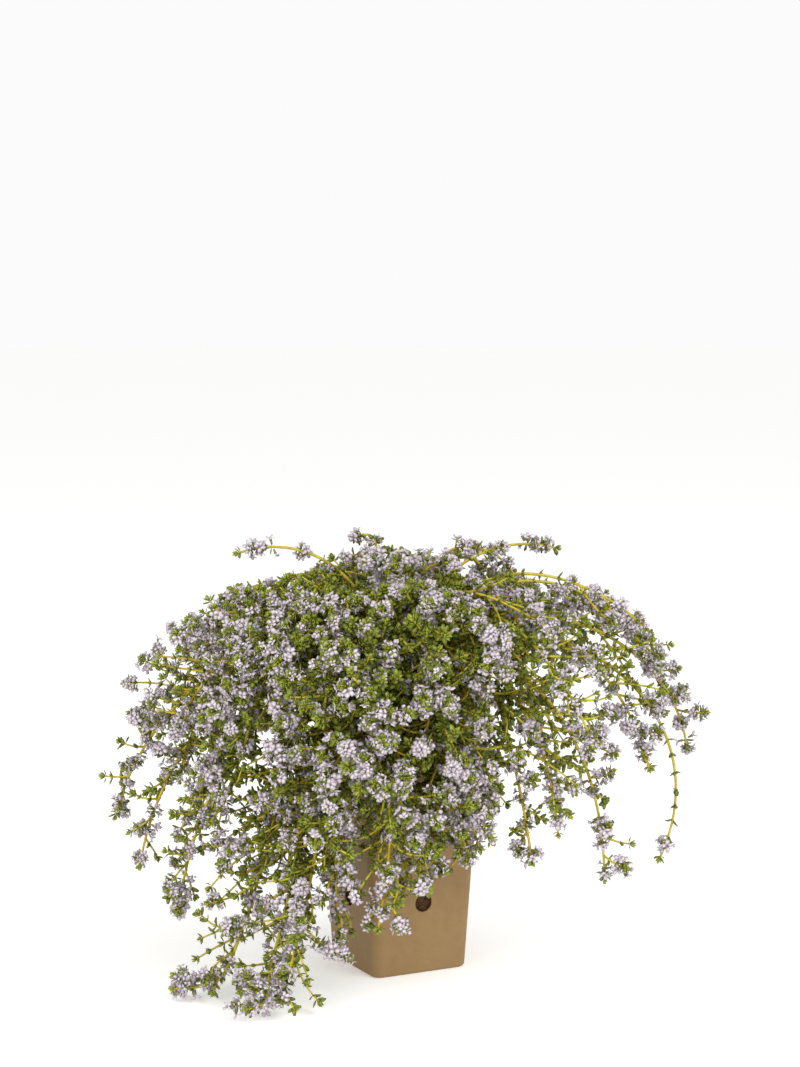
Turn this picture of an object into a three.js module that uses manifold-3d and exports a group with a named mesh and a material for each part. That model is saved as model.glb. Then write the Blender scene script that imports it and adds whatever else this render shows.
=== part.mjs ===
// Potted thyme in flower, in a tall square tapered pot. Millimetres, +Z up.
// The origin is the middle of the pot's underside, and the pot's faces look along X and Y.
// Every thyme stem stands in its own hole in the soil, rises, bows outwards and hangs.
import * as THREE from 'three';
import { mergeVertices } from 'three/addons/utils/BufferGeometryUtils.js';
import Module from 'manifold-3d';

const wasm = await Module();
wasm.setup();

// Pot.
const POT_HEIGHT = 190;
const POT_TOP_WIDTH = 90;
const POT_BASE_WIDTH = 69;
const POT_CORNER_RADIUS = 7;
const POT_FOOT_ROUND = 2.5;
const POT_FOOT_STEPS = 3;
const POT_WALL = 1.6;
const POT_FLOOR = 2.4;
const SIDE_HOLE_DIAMETER = 12;
const SIDE_HOLE_HEIGHT = 48;
const SIDE_HOLE_SIDES = 14;
const DRAIN_HOLE_DIAMETER = 8;
const DRAIN_HOLE_OFFSET = 20;
const DRAIN_HOLE_SIDES = 8;

// Soil.
const SOIL_BELOW_RIM = 12;
const SOIL_GAP = 0.3;
const STEM_HOLE_RADIUS = 2.2;
const STEM_HOLE_DEPTH = 16;
const STEM_HOLE_SIDES = 4;

// Stems, and how they come to the ground.
const STEM_RADIUS = 1.1;
const STEM_SIDES = 6;
const STEM_FOOT_GAP = 0.4;
const REST_HEIGHT = 9;
const REST_SOFTNESS = 8;
const ARCHING_LEAN = 1.05;
const TRAILING_LEAN = 1.32;

// How far a stem strays from its place in its ring: degrees, shares and millimetres.
const SEED = 38;
const HEADING_SCATTER = 0.16;
const SWEEP_SCATTER = 5;
const REACH_SCATTER = 0.06;
const TIP_SCATTER = 8;
const WAVE_SCATTER = 12;

// The heading of the side where the plant is fullest, at its front left.
const FULL_SIDE = 255;

// How stems that would cross are bent clear, and the room that each takes round its middle line.
const BEND_TURN = 4;
const BEND_LIFT = 12;
const BEND_TRIES = 85;
const ROOM_POINTS = 48;
const WHORL_ROOM = 7.4;
const LEAF_ROOM = 3;
const FOOT_ROOM = 2.2;
const FOOT_HEIGHT = 30;

// Flower whorls and leaves.
const WHORL_RADIUS = 8;
const WHORL_DIP = 3.2;
const WHORL_LENGTH = 9;
const WHORL_PITCH = 15;
const WHORL_PITCH_GROWTH = 2.5;
const FLORET_LEAN = 0.3;
const LEAF_LENGTH = 7;
const FOOT_LEAF_LENGTH = 3.6;
const LEAF_ROOT = 1.5;
const LEAF_LEAN = 0.6;
const TUFT_LENGTH = 4.6;
const TUFT_LEAN = 0.9;

const SOIL_TOP = POT_HEIGHT - SOIL_BELOW_RIM;
const FRONT_VIEW_TURN = THREE.MathUtils.degToRad(-27);
const UP = new THREE.Vector3(0, 0, 1);

// Numbers from 0 to 1 that are the same in every run.
function seededDraws(seed) {
  let state = seed >>> 0;
  return () => {
    state = (state + 0x6d2b79f5) >>> 0;
    let mixed = Math.imul(state ^ (state >>> 15), state | 1);
    mixed ^= mixed + Math.imul(mixed ^ (mixed >>> 7), mixed | 61);
    return ((mixed ^ (mixed >>> 14)) >>> 0) / 2 ** 32;
  };
}

// Closed solids that can be joined and cut.
function toSolid(geometry) {
  const bare = geometry.index ? geometry.toNonIndexed() : geometry.clone();
  bare.deleteAttribute('normal');
  bare.deleteAttribute('uv');
  const merged = mergeVertices(bare, 1e-4);
  return new wasm.Manifold(new wasm.Mesh({
    numProp: 3,
    vertProperties: new Float32Array(merged.attributes.position.array),
    triVerts: new Uint32Array(merged.index.array),
  }));
}

function toGeometry(solid) {
  const mesh = solid.getMesh();
  const geometry = new THREE.BufferGeometry();
  geometry.setAttribute('position', new THREE.BufferAttribute(new Float32Array(mesh.vertProperties), 3));
  geometry.setIndex(new THREE.BufferAttribute(new Uint32Array(mesh.triVerts), 1));
  geometry.computeVertexNormals();
  return geometry;
}

// ---------------------------------------------------------------- pot and soil

// The side of the pot's square outline at a height, measured outside.
function potWidth(height) {
  return THREE.MathUtils.lerp(POT_BASE_WIDTH, POT_TOP_WIDTH, height / POT_HEIGHT);
}

// The outlines of a block from its bottom to its top: their heights, and how far each is set in from the
// pot's outside. The bottom edge can be rounded over.
function blockRings(bottom, top, inset, footRound) {
  const rings = [{ height: top, inset }];
  const steps = footRound ? POT_FOOT_STEPS : 0;
  for (let k = steps; k > 0; k -= 1) {
    const angle = (k / steps) * (Math.PI / 2);
    rings.unshift({
      height: bottom + footRound * (1 - Math.cos(angle)),
      inset: inset + footRound * (1 - Math.sin(angle)),
    });
  }
  rings.unshift({ height: bottom, inset: inset + footRound });
  return rings;
}

// A square block with rounded upright corners that widens upwards with the pot, set in from its outside.
function taperedBlock(bottom, top, inset, footRound = 0) {
  const half = 1 - (2 * inset) / potWidth(bottom);
  const corner = (POT_CORNER_RADIUS - inset) / (potWidth(bottom) / 2);
  const outline = new THREE.Shape();
  outline.moveTo(half, -half + corner);
  outline.lineTo(half, half - corner);
  outline.absarc(half - corner, half - corner, corner, 0, Math.PI / 2);
  outline.lineTo(-half + corner, half);
  outline.absarc(-half + corner, half - corner, corner, Math.PI / 2, Math.PI);
  outline.lineTo(-half, -half + corner);
  outline.absarc(-half + corner, -half + corner, corner, Math.PI, 1.5 * Math.PI);
  outline.lineTo(half - corner, -half);
  outline.absarc(half - corner, -half + corner, corner, 1.5 * Math.PI, 2 * Math.PI);
  const rings = blockRings(bottom, top, inset, footRound);
  const steps = rings.length - 1;
  const block = new THREE.ExtrudeGeometry(outline, {
    depth: steps, steps, curveSegments: 3, bevelEnabled: false,
  });
  const place = block.attributes.position;
  for (let k = 0; k < place.count; k += 1) {
    const ring = rings[Math.round(place.getZ(k))];
    const spread = (potWidth(ring.height) - 2 * ring.inset) / 2 / half;
    place.setXYZ(k, place.getX(k) * spread, place.getY(k) * spread, ring.height);
  }
  return toSolid(block);
}

// A round pin along X, Y or Z, for cutting a hole.
function roundPin(axis, radius, length, sides, centre) {
  const pin = new THREE.CylinderGeometry(radius, radius, length, sides);
  if (axis === 'x') {
    pin.rotateZ(Math.PI / 2);
  }
  if (axis === 'z') {
    pin.rotateX(Math.PI / 2);
  }
  pin.translate(centre.x, centre.y, centre.z);
  return toSolid(pin);
}

function makePot() {
  let pot = taperedBlock(0, POT_HEIGHT, 0, POT_FOOT_ROUND);
  pot = pot.subtract(taperedBlock(POT_FLOOR, POT_HEIGHT + 1, POT_WALL));
  const sideHole = new THREE.Vector3(0, 0, SIDE_HOLE_HEIGHT);
  for (const axis of ['x', 'y']) {
    const pin = roundPin(axis, SIDE_HOLE_DIAMETER / 2, 2 * POT_TOP_WIDTH, SIDE_HOLE_SIDES, sideHole);
    pot = pot.subtract(pin);
  }
  for (const x of [-DRAIN_HOLE_OFFSET, DRAIN_HOLE_OFFSET]) {
    for (const y of [-DRAIN_HOLE_OFFSET, DRAIN_HOLE_OFFSET]) {
      const drain = new THREE.Vector3(x, y, 0);
      pot = pot.subtract(roundPin('z', DRAIN_HOLE_DIAMETER / 2, 4 * POT_FLOOR, DRAIN_HOLE_SIDES, drain));
    }
  }
  return pot;
}

function makeSoil(stems) {
  let soil = taperedBlock(POT_FLOOR + SOIL_GAP, SOIL_TOP, POT_WALL + SOIL_GAP);
  for (const stem of stems) {
    soil = soil.subtract(roundPin('z', STEM_HOLE_RADIUS, 2 * STEM_HOLE_DEPTH, STEM_HOLE_SIDES, stem.root));
  }
  return soil;
}

// ---------------------------------------------------------------- where the stems go

// A point round the plant. Headings are in degrees: 0 is its right as it is seen from the front,
// 90 its back, 180 its left and 270 its front.
function around(degrees, radius, height) {
  const angle = THREE.MathUtils.degToRad(degrees) + FRONT_VIEW_TURN;
  return new THREE.Vector3(radius * Math.cos(angle), radius * Math.sin(angle), height);
}

// A value that changes smoothly with the heading: given to the right, back, left and front.
function byHeading(degrees, [right, back, left, front]) {
  const cosine = Math.cos(THREE.MathUtils.degToRad(degrees));
  const sine = Math.sin(THREE.MathUtils.degToRad(degrees));
  return (cosine > 0 ? right : left) * cosine ** 2 + (sine > 0 ? back : front) * sine ** 2;
}

// Turns a heading towards the plant's full side, by up to a number of degrees.
function gathered(degrees, most) {
  return degrees - most * Math.sin(THREE.MathUtils.degToRad(degrees - FULL_SIDE));
}

// Arching stems rise from rings in the soil. The nearer the middle, the higher they arch. The stems of
// a ring are gathered towards the full side by up to so many degrees. Every second stem of a ring stops
// short, at a share of the reach, with its tip lifted by so much.
const ARCHING = [
  {
    count: 9, rootRing: 29.5, firstHeading: 3, gather: 16, short: 0.84, lift: 46, pairs: 3, whorls: 4,
    reach: [166, 146, 156, 104], tip: [130, 126, 116, 84], rise: 86, bend: 0.84, droop: 104,
  },
  {
    count: 9, rootRing: 23, firstHeading: 20, gather: 16, short: 0.8, lift: 32, pairs: 3, whorls: 4,
    reach: [176, 150, 148, 116], tip: [192, 186, 168, 140], rise: 100, bend: 0.76, droop: 84,
  },
  {
    count: 10, rootRing: 16, firstHeading: 0, gather: 14, short: 0.74, lift: 14, pairs: 3, whorls: 4,
    reach: [164, 138, 140, 112], tip: [228, 212, 204, 190], rise: 104, bend: 0.7, droop: 54,
  },
  {
    count: 7, rootRing: 8, firstHeading: 77, gather: 0, short: 0.6, lift: 6, pairs: 3, whorls: 3,
    reach: [122, 84, 112, 66], tip: [262, 250, 268, 262], rise: 88, bend: 0.6, droop: 16,
  },
];

// Trailing stems root next to the pot's wall, bow over the rim and hang, those at the front left
// down to the ground. Each is given from its root to its tip.
const TRAILING_ROOT_RING = 36;
const TRAILING = [
  { from: 3, to: -2, reach: 174, tip: 70, rise: 92, bend: 1.32, droop: 130, pairs: 7, whorls: 1 },
  { from: 22, to: 15, reach: 206, tip: 132, rise: 86, bend: 0.9, droop: 104, pairs: 3, whorls: 3 },
  { from: 344, to: 341, reach: 142, tip: 66, rise: 70, bend: 0.95, droop: 122, pairs: 3, whorls: 4 },
  { from: 324, to: 320, reach: 112, tip: 84, rise: 64, bend: 0.95, droop: 110, pairs: 3, whorls: 4 },
  { from: 304, to: 299, reach: 92, tip: 84, rise: 62, bend: 0.95, droop: 100, pairs: 3, whorls: 4 },
  { from: 294, to: 286, reach: 104, tip: 108, rise: 74, bend: 0.92, droop: 84, pairs: 3, whorls: 4 },
  { from: 284, to: 272, reach: 92, tip: 66, rise: 66, bend: 0.92, droop: 104, pairs: 3, whorls: 4 },
  { from: 274, to: 264, reach: 118, tip: 52, rise: 84, bend: 0.9, droop: 104, pairs: 3, whorls: 4 },
  { from: 265, to: 254, reach: 106, tip: 46, rise: 96, bend: 0.86, droop: 112, pairs: 3, whorls: 4 },
  { from: 248, to: 241, reach: 172, tip: -14, rise: 184, bend: 0.66, droop: -24, pairs: 3, whorls: 5 },
  { from: 230, to: 227, reach: 146, tip: -14, rise: 160, bend: 0.72, droop: -10, pairs: 3, whorls: 4 },
  { from: 214, to: 215, reach: 174, tip: -14, rise: 150, bend: 0.7, droop: -20, pairs: 3, whorls: 5 },
  { from: 197, to: 200, reach: 152, tip: 44, rise: 80, bend: 0.9, droop: 104, pairs: 3, whorls: 4 },
  { from: 179, to: 186, reach: 172, tip: 68, rise: 78, bend: 0.9, droop: 108, pairs: 3, whorls: 4 },
  { from: 161, to: 172, reach: 194, tip: 92, rise: 76, bend: 0.86, droop: 104, pairs: 3, whorls: 4 },
  { from: 140, to: 148, reach: 160, tip: 74, rise: 70, bend: 0.92, droop: 112, pairs: 3, whorls: 4 },
  { from: 92, to: 93, reach: 128, tip: 82, rise: 66, bend: 0.93, droop: 110, pairs: 3, whorls: 4 },
  { from: 45, to: 40, reach: 144, tip: 76, rise: 68, bend: 0.93, droop: 116, pairs: 3, whorls: 4 },
];

function planStem(from, to, rootRing, lean, wave, row) {
  return {
    wave,
    root: around(from, rootRing, SOIL_TOP),
    rise: around(from, rootRing * lean, SOIL_TOP + row.rise),
    bend: around(to, row.reach * row.bend, row.tip + row.droop),
    tip: around(to, row.reach, row.tip),
    pairs: row.pairs,
    whorls: row.whorls,
  };
}

// Points along a stem, each with the room that its leaves or flowers take round it.
function roomAlong(stem) {
  const line = new StemLine(stem);
  const points = Array.from({ length: ROOM_POINTS + 1 }, (_, k) => line.getPoint(k / ROOM_POINTS));
  const flowering = TUFT_LENGTH + stem.whorls * (WHORL_PITCH + WHORL_PITCH_GROWTH);
  let fromTip = 0;
  return points.reverse().map((point, k) => {
    fromTip += k ? point.distanceTo(points[k - 1]) : 0;
    const isFoot = point.z < SOIL_TOP + FOOT_HEIGHT && k > ROOM_POINTS / 2;
    const leafy = isFoot ? FOOT_ROOM : LEAF_ROOM;
    return { point, room: fromTip < flowering ? WHORL_ROOM : leafy };
  });
}

function isClear(stem, placed) {
  const own = roomAlong(stem);
  return placed.every((other) => other.every(({ point, room }) => own.every(
    (mine) => mine.point.distanceTo(point) > mine.room + room,
  )));
}

// A stem that would cross one already placed is bent clear of it: its tip turns, or moves up or down.
function placeStem(stems, placed, from, to, rootRing, lean, wave, row) {
  let stem;
  for (let step = 0; step < BEND_TRIES; step += 1) {
    const turn = BEND_TURN * Math.ceil(step / 6) * (step % 2 ? 1 : -1);
    const lift = BEND_LIFT * ((Math.floor(step / 2) % 3) - 1);
    const bent = step ? { ...row, tip: row.tip + lift } : row;
    stem = planStem(from, to + turn, rootRing, lean, wave, bent);
    if (isClear(stem, placed)) {
      break;
    }
  }
  stems.push(stem);
  placed.push(roomAlong(stem));
}

function planStems() {
  const draw = seededDraws(SEED);
  const vary = (amount) => amount * (2 * draw() - 1);
  const stems = [];
  const placed = [];
  for (const row of TRAILING) {
    const wave = vary(WAVE_SCATTER);
    placeStem(stems, placed, row.from, row.to, TRAILING_ROOT_RING, TRAILING_LEAN, wave, row);
  }
  for (const ring of ARCHING) {
    const step = 360 / ring.count;
    for (let k = 0; k < ring.count; k += 1) {
      const heading = gathered(ring.firstHeading + k * step, ring.gather);
      const from = heading + vary(step * HEADING_SCATTER);
      const isShort = k % 2 === 1;
      const row = {
        ...ring,
        reach: byHeading(from, ring.reach) * (isShort ? ring.short : 1) * (1 + vary(REACH_SCATTER)),
        tip: byHeading(from, ring.tip) + (isShort ? ring.lift : 0) + vary(TIP_SCATTER),
      };
      const to = from + vary(SWEEP_SCATTER);
      placeStem(stems, placed, from, to, ring.rootRing, ARCHING_LEAN, vary(WAVE_SCATTER), row);
    }
  }
  return stems;
}

// ---------------------------------------------------------------- one stem

// The middle line of a stem, read by its length above the soil. It waves a little to either side,
// and never comes nearer the ground than half a flower whorl.
class StemLine extends THREE.Curve {
  constructor(stem) {
    super();
    this.arch = new THREE.CubicBezierCurve3(stem.root, stem.rise, stem.bend, stem.tip);
    this.aside = new THREE.Vector3().crossVectors(UP, stem.tip.clone().sub(stem.root)).normalize();
    this.wave = stem.wave;
    this.arcLengthDivisions = 100;
  }

  getPoint(t, target = new THREE.Vector3()) {
    this.arch.getPoint(t, target);
    target.addScaledVector(this.aside, this.wave * t * Math.sin(2 * Math.PI * t));
    const above = target.z - REST_HEIGHT;
    target.z = REST_HEIGHT + (above + Math.hypot(above, REST_SOFTNESS)) / 2;
    return target;
  }

  at(distance) {
    if (distance < 0) {
      return this.getPoint(0).addScaledVector(UP, distance);
    }
    return this.getPointAt(Math.min(distance / this.getLength(), 1));
  }
}

// The same line, with its rings at chosen distances.
class RingedLine extends THREE.Curve {
  constructor(line, distances) {
    super();
    this.line = line;
    this.distances = distances;
  }

  getPoint(t) {
    const place = t * (this.distances.length - 1);
    const ring = Math.min(Math.floor(place), this.distances.length - 2);
    return this.line.at(THREE.MathUtils.lerp(this.distances[ring], this.distances[ring + 1], place - ring));
  }

  getPointAt(t) {
    return this.getPoint(t);
  }

  getTangentAt(t) {
    return this.getTangent(t);
  }
}

// The radii of a ring's corners: long at the chosen corners, and short at the others.
function corners(long, short, chosen) {
  return Array.from({ length: STEM_SIDES }, (_, k) => (chosen(k) ? long : short));
}

// Rings from the foot of a stem to its tip. A long corner leans forward along the stem, and is a leaf
// or a floret. Leaves stand in opposite pairs, each pair turned from the last, and short near the foot.
function stemRings(length, pairs, whorls) {
  const thin = corners(STEM_RADIUS, STEM_RADIUS, () => false);
  const even = (corner) => corner % 2 === 0;
  const odd = (corner) => corner % 2 === 1;
  const rings = [];
  const addRing = (at, radii = thin, lean = 0) => rings.push({ at, radii, lean });
  const centres = [];
  let fromTip = TUFT_LENGTH + WHORL_LENGTH / 2;
  for (let k = 0; k < whorls; k += 1) {
    centres.unshift(length - fromTip);
    fromTip += WHORL_PITCH + WHORL_PITCH_GROWTH * k;
  }
  const bareEnd = centres[0] - WHORL_LENGTH / 2;
  addRing(STEM_FOOT_GAP - STEM_HOLE_DEPTH);
  addRing(0);
  for (let pair = 0; pair < pairs; pair += 1) {
    const at = (bareEnd * (pair + 0.5)) / pairs;
    addRing(at - LEAF_ROOT);
    const leaf = at < FOOT_HEIGHT ? FOOT_LEAF_LENGTH : LEAF_LENGTH;
    addRing(at, corners(leaf, STEM_RADIUS, (corner) => corner % 3 === pair % 3), LEAF_LEAN);
    addRing(at + LEAF_ROOT);
  }
  addRing(bareEnd);
  centres.forEach((centre, k) => {
    const neck = k + 1 < whorls ? (centre + centres[k + 1]) / 2 : centre + WHORL_LENGTH / 2;
    addRing(centre - WHORL_LENGTH / 6, corners(WHORL_RADIUS, WHORL_DIP, even));
    addRing(centre + WHORL_LENGTH / 6, corners(WHORL_RADIUS, WHORL_DIP, odd), FLORET_LEAN);
    addRing(neck);
  });
  addRing(length - TUFT_LENGTH / 2, corners(TUFT_LENGTH, STEM_RADIUS, even), TUFT_LEAN);
  addRing(length);
  return rings;
}

// A six-sided stem along its line, with its leaves and florets pulled out from its corners.
function makeStem(stem) {
  const line = new StemLine(stem);
  const rings = stemRings(line.getLength(), stem.pairs, stem.whorls);
  const section = new THREE.Shape();
  for (let k = 0; k < STEM_SIDES; k += 1) {
    const angle = (k * 2 * Math.PI) / STEM_SIDES;
    section[k ? 'lineTo' : 'moveTo'](STEM_RADIUS * Math.cos(angle), STEM_RADIUS * Math.sin(angle));
  }
  const path = new RingedLine(line, rings.map((ring) => ring.at));
  const steps = rings.length - 1;
  const tube = new THREE.ExtrudeGeometry(section, { steps, extrudePath: path, bevelEnabled: false });
  const frames = path.computeFrenetFrames(steps, false);
  const centres = rings.map((ring) => line.at(ring.at));
  const place = tube.attributes.position;
  const point = new THREE.Vector3();
  for (let k = 0; k < place.count; k += 1) {
    point.fromBufferAttribute(place, k);
    const gaps = centres.map((centre) => centre.distanceToSquared(point));
    const nearest = gaps.indexOf(Math.min(...gaps));
    const ring = rings[nearest];
    const outward = point.clone().sub(centres[nearest]).normalize();
    const angle = Math.atan2(outward.dot(frames.binormals[nearest]), outward.dot(frames.normals[nearest]));
    const corner = (Math.round((angle * STEM_SIDES) / (2 * Math.PI)) + STEM_SIDES) % STEM_SIDES;
    const radius = ring.radii[corner];
    point.copy(centres[nearest]).addScaledVector(outward, radius);
    point.addScaledVector(frames.tangents[nearest], ring.lean * (radius - STEM_RADIUS));
    place.setXYZ(k, point.x, point.y, point.z);
  }
  return toSolid(tube);
}

// ---------------------------------------------------------------- the whole plant

function paint(colour, roughness) {
  return new THREE.MeshStandardMaterial({ color: colour, roughness, metalness: 0 });
}

function addPart(group, name, solid, material) {
  const mesh = new THREE.Mesh(toGeometry(solid), material);
  mesh.name = name;
  group.add(mesh);
}

const stems = planStems();
const pottedThyme = new THREE.Group();
addPart(pottedThyme, 'pot', makePot(), paint(0xa58a62, 0.75));
addPart(pottedThyme, 'soil', makeSoil(stems), paint(0x3a2a1c, 0.95));
stems.forEach((stem, number) => {
  const name = `stem_${String(number + 1).padStart(2, '0')}`;
  addPart(pottedThyme, name, makeStem(stem), paint(0x7d8f3e, 0.8));
});

export default pottedThyme;
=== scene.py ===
import math
import random
from bisect import bisect_right

import bmesh
import bpy
from mathutils import Matrix, Quaternion, Vector, noise
from mathutils.geometry import interpolate_bezier


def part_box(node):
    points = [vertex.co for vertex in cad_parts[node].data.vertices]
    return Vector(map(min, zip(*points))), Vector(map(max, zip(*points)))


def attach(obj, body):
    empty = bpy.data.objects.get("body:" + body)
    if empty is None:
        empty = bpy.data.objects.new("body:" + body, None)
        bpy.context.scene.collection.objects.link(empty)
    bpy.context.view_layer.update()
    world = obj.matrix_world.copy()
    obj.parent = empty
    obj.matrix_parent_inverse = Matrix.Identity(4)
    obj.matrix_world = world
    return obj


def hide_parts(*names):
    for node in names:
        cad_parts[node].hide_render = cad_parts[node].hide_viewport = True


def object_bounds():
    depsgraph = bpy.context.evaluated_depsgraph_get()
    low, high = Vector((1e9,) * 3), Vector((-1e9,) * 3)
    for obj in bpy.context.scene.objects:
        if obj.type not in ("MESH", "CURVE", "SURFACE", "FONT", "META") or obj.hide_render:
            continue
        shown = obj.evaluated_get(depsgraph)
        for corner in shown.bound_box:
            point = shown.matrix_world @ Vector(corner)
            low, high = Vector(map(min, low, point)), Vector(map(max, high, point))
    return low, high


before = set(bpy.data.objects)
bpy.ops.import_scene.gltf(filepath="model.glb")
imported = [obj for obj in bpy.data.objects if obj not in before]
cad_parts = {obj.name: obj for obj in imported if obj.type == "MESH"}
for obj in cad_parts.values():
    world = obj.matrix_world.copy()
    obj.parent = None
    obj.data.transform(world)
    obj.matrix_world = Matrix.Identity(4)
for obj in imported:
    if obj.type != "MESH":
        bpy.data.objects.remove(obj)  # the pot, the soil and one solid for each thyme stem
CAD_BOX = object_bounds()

bl_info = {
    "name": "Potted Thyme",
    "version": (1, 0, 0),
    "blender": (4, 5, 0),
    "location": "3D View > Sidebar > Thyme",
    "description": "Grows a flowering thyme plant in a tall square pot",
    "category": "Add Mesh",
}

MM = 0.001
NEAR = 0.1 * MM  # heights closer than this are the same
UP = Vector((0, 0, 1))

# The pot and the soil, as the frame has them.
POT_LOW, POT_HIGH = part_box("pot")
SOIL_LOW, SOIL_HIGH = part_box("soil")
STEM_NODES = sorted(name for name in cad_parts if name.startswith("stem_"))


def between(first, last, share):
    """The value at a share of the way from the first to the last."""
    return first * (1 - share) + last * share


def width_at(node, height):
    """How wide a node's solid is at a height where it has corners."""
    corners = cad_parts[node].data.vertices
    return 2 * max(corner.co.x for corner in corners if abs(corner.co.z - height) < NEAR)


# The pot's bottom edge is rounded over up to this height. The base width is what the walls would
# come down to without that.
FOOT_ROUND = 2.5 * MM
ABOVE_FOOT_WIDTH = width_at("pot", POT_LOW.z + FOOT_ROUND)
POT_TOP_WIDTH = width_at("pot", POT_HIGH.z)
POT_WIDENING = (POT_TOP_WIDTH - ABOVE_FOOT_WIDTH) / (POT_HIGH.z - POT_LOW.z - FOOT_ROUND)
POT_BASE_WIDTH = ABOVE_FOOT_WIDTH - POT_WIDENING * FOOT_ROUND
SOIL_BASE_WIDTH = width_at("soil", SOIL_LOW.z)
SOIL_TOP_WIDTH = width_at("soil", SOIL_HIGH.z)


# ---------------------------------------------------------------- settings

def number(name, description, default, **limits):
    """A plain number that a user can change."""
    return bpy.props.FloatProperty(name=name, description=description, default=default, **limits)


def length(name, description, millimetres):
    """A length that a user can change, given in millimetres."""
    metres = millimetres * MM
    return number(
        name, description, metres, min=0.0, subtype="DISTANCE", unit="LENGTH", precision=4,
    )


def angle(name, description, degrees):
    """An angle that a user can change, given in degrees."""
    return number(name, description, math.radians(degrees), subtype="ANGLE", unit="ROTATION")


def linear(step):
    """A colour step from 0 to 255 as scene light."""
    share = step / 255
    return share / 12.92 if share <= 0.04045 else ((share + 0.055) / 1.055) ** 2.4


def colour(name, description, *steps):
    """A colour that a user can change, given as red, green and blue steps from 0 to 255."""
    return bpy.props.FloatVectorProperty(
        name=name, description=description, subtype="COLOR", size=3, min=0.0, max=1.0,
        default=[linear(step) for step in steps],
    )


class ThymePotSettings(bpy.types.PropertyGroup):
    """Sizes and colours of the pot and of what fills it."""

    wall: length("Wall", "Thickness of the pot's walls", 1.6)
    floor: length("Floor", "Thickness of the pot's floor", 2.4)
    corner_radius: length("Corner radius", "Radius of the upright corners at the base", 7)
    edge_round: length("Edge rounding", "Rounding of the rim and the holes", 0.5)
    side_hole: length("Side hole", "Diameter of the hole in each face", 12)
    side_hole_height: length("Side hole height", "Height of the side holes' middle", 48)
    drain_hole: length("Drain hole", "Diameter of the holes in the floor", 8)
    drain_offset: length("Drain hole offset", "Distance of the drain holes from the middle", 20)
    tan: colour("Tan", "Colour of the pot", 151, 122, 79)
    tan_dark: colour("Dark tan", "Colour of the pot's darker patches", 136, 108, 69)
    soil_dark: colour("Dark soil", "Colour of the moist soil", 34, 22, 14)
    soil_light: colour("Light soil", "Colour of the dry fibres", 96, 66, 42)
    root: colour("Roots", "Colour of the fine roots", 100, 72, 46)


class ThymePlantSettings(bpy.types.PropertyGroup):
    """How the thyme grows, and its colours."""

    seed: bpy.props.IntProperty(
        name="Seed", description="Changes every side shoot and leaf", default=5, min=0,
    )
    stem_foot: length("Stem foot", "Radius of a stem where it leaves the soil", 1.6)
    stem_tip: length("Stem tip", "Radius of a stem at its tip", 0.75)
    sprig_foot: length("Shoot foot", "Radius of a side shoot where it leaves its stem", 0.85)
    sprig_tip: length("Shoot tip", "Radius of a side shoot at its tip", 0.55)
    sprig_spacing: length("Shoot spacing", "Distance between side shoots along a stem", 7.8)
    full_side: angle("Full side", "Direction in which the plant is fullest", 228)
    fullness: number(
        "Fullness", "How much closer shoots stand on the full side", 0.3, min=0.0, max=0.8,
    )
    sprig_shortest: length("Shortest shoot", "Length of the shortest side shoots", 18)
    sprig_longest: length("Longest shoot", "Length of the longest side shoots", 66)
    sprig_outermost: length("Outermost shoot", "Length of the longest shoots at a stem's end", 20)
    twig_longest: length("Longest twig", "Length of the longest shoots of a long branch", 38)
    bulk_radius: length("Bulk radius", "Side shoots nearer to the axis than this are long", 135)
    low_shoots: length("Low shoots", "Below this the plant is thin away from its full side", 150)
    crown_radius: length("Crown radius", "Few shoots nearer to the axis than this flower", 60)
    dome_height: length("Dome height", "Height that side shoots reach above the pot's middle", 262)
    dome_fall: number("Dome fall", "How fast the plant's top falls outwards", 1.3, min=0.0)
    dome_bumps: length("Dome bumps", "How far the plant's top is uneven", 22)
    shade_depth: length("Shade depth", "Shoots with others this far outside them don't flower", 24)
    shade_limit: number(
        "Shade limit", "How crowded it may be outside a shoot that flowers", 0.8, min=0.0,
    )
    leaf_length: length("Leaf length", "Length of a full-grown leaf", 6)
    leaf_width: length("Leaf width", "Width of a full-grown leaf", 3.5)
    pair_spacing: length("Leaf spacing", "Distance between pairs of leaves", 8)
    floret_length: length("Floret length", "Length of a flower from its stalk to its lips", 7)
    florets: bpy.props.IntProperty(
        name="Florets", description="Flowers in one whorl", default=15, min=3, max=40,
    )
    petal_pale: colour("Pale petal", "Colour of the lips' edges", 215, 206, 210)
    # The lilac is also the colour of the petals' painted glow, which lifts their shade.
    petal_lilac: colour("Lilac petal", "Colour of the deeper lilac flowers", 191, 179, 188)
    throat: colour("Throat", "Colour of the flowers' throats", 184, 167, 179)
    calyx: colour("Calyx", "Colour of the cups that hold the flowers", 128, 130, 66)
    leaf_dark: colour("Dark leaf", "Colour of the old leaves", 52, 64, 12)
    leaf_green: colour("Green leaf", "Colour of the grown leaves", 105, 115, 20)
    leaf_fresh: colour("Fresh leaf", "Colour of the young leaves at the tips", 158, 169, 50)
    stem_young: colour("Young stem", "Colour of the soft stems", 196, 190, 42)
    stem_ochre: colour("Ripe stem", "Colour of the ripening stems", 198, 168, 44)
    stem_bark: colour("Bark", "Colour of the woody stems", 112, 82, 48)


class ThymeStageSettings(bpy.types.PropertyGroup):
    """The floor, the lights and the camera."""

    lens: number("Lens", "Focal length in millimetres", 84.35, min=10.0)
    camera_turn: angle("Turn", "How far the camera stands round to the right of the front", -27)
    camera_tilt: angle("Tilt", "How far the camera looks down", 6.2)
    camera_height: length("Camera height", "Height of the camera above the floor", 466.5)
    camera_away: length("Camera distance", "Distance of the camera from the pot's middle", 1639.2)
    camera_right: length("Camera right", "How far the camera stands to the right", 1.3)
    floor: colour("Floor", "Colour of the floor", 247, 247, 246)


# ---------------------------------------------------------------- shader nodes

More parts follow.
